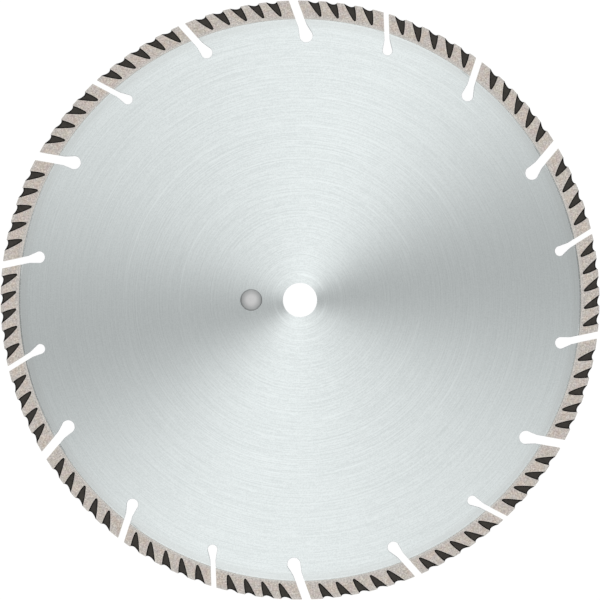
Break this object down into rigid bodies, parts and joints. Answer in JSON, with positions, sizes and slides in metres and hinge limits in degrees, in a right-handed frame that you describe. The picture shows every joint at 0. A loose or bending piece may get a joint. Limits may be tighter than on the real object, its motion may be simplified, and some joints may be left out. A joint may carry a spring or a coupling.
{
  "type": "segmented diamond blade",
  "caption": "Flat round diamond cutting blade: slotted steel core with a central arbor bore, notched rim segments and a knock-out plug in the drive-pin hole.",
  "frame": {"origin": "centre of the arbor bore at the middle of the blade's thickness", "axes": "+Z along the bore axis, out of the face that the picture shows; +X away from the drive-pin hole; +Y up in the picture"},
  "size_m": [0.35, 0.35, 0.0032],
  "materials": {
    "core_steel": "ground with fine concentric marks",
    "diamond_bond": "matte sintered metal bond with grit, notches painted black",
    "plug_steel": "satin, pressed"
  },
  "bodies": {
    "blade": {"core": "core_steel", "segment_01": "diamond_bond", "segment_02": "diamond_bond", "segment_03": "diamond_bond", "segment_04": "diamond_bond", "segment_05": "diamond_bond", "segment_06": "diamond_bond", "segment_07": "diamond_bond", "segment_08": "diamond_bond", "segment_09": "diamond_bond", "segment_10": "diamond_bond", "segment_11": "diamond_bond", "segment_12": "diamond_bond", "segment_13": "diamond_bond", "segment_14": "diamond_bond", "segment_15": "diamond_bond", "segment_16": "diamond_bond", "segment_17": "diamond_bond", "segment_18": "diamond_bond"},
    "plug": {"knockout_plug": "plug_steel"}
  },
  "joints": [
    {"name": "plug_slide", "type": "slide", "parent": "blade", "child": "plug", "axis": [0, 0, 1], "range_m": [0, 0.008]}
  ]
}
